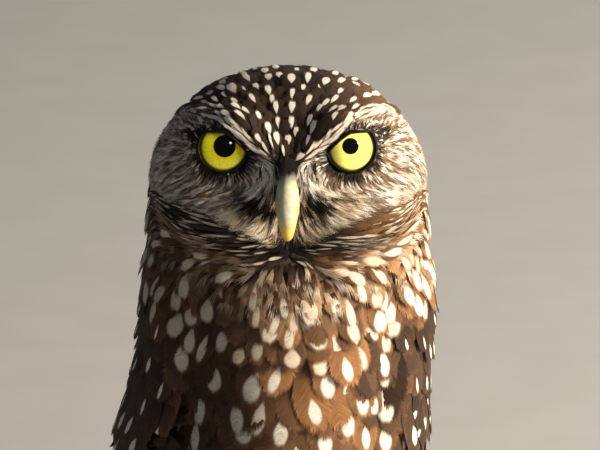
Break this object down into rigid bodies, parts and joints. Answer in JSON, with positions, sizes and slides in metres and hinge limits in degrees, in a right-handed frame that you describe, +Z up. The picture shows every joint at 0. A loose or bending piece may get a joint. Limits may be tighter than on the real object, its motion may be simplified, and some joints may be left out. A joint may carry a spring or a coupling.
{
  "type": "burrowing owl figure",
  "caption": "Life-size still model of a small long-legged owl standing upright with folded wings, round head, yellow eyes and bare toes.",
  "frame": {"origin": "on the floor, under the middle of the whole bird's bounding box", "axes": "+Z up; the bird faces -Y; its left side is +X"},
  "size_m": [0.0918, 0.1172, 0.2156],
  "materials": {
    "face": "fine matt feathering",
    "plumage": "soft matt feathers with pale spots",
    "flight_feathers": "smooth matt feathers with pale bars",
    "leg_down": "short pale down",
    "bill": "satin horn",
    "eye": "wet and glossy",
    "toe_skin": "dry scaled skin",
    "claw": "polished horn"
  },
  "bodies": {
    "root": {"head": "face", "bill_upper": "bill", "bill_lower": "bill", "neck": "plumage", "torso": "plumage", "tail": "flight_feathers", "eye_left": "eye", "wing_left": "flight_feathers", "thigh_left": "leg_down", "shank_left": "leg_down", "foot_left": "toe_skin", "claw_left_hind": "claw", "claw_left_inner": "claw", "claw_left_middle": "claw", "claw_left_outer": "claw", "eye_right": "eye", "wing_right": "flight_feathers", "thigh_right": "leg_down", "shank_right": "leg_down", "foot_right": "toe_skin", "claw_right_hind": "claw", "claw_right_inner": "claw", "claw_right_middle": "claw", "claw_right_outer": "claw"}
  },
  "joints": []
}
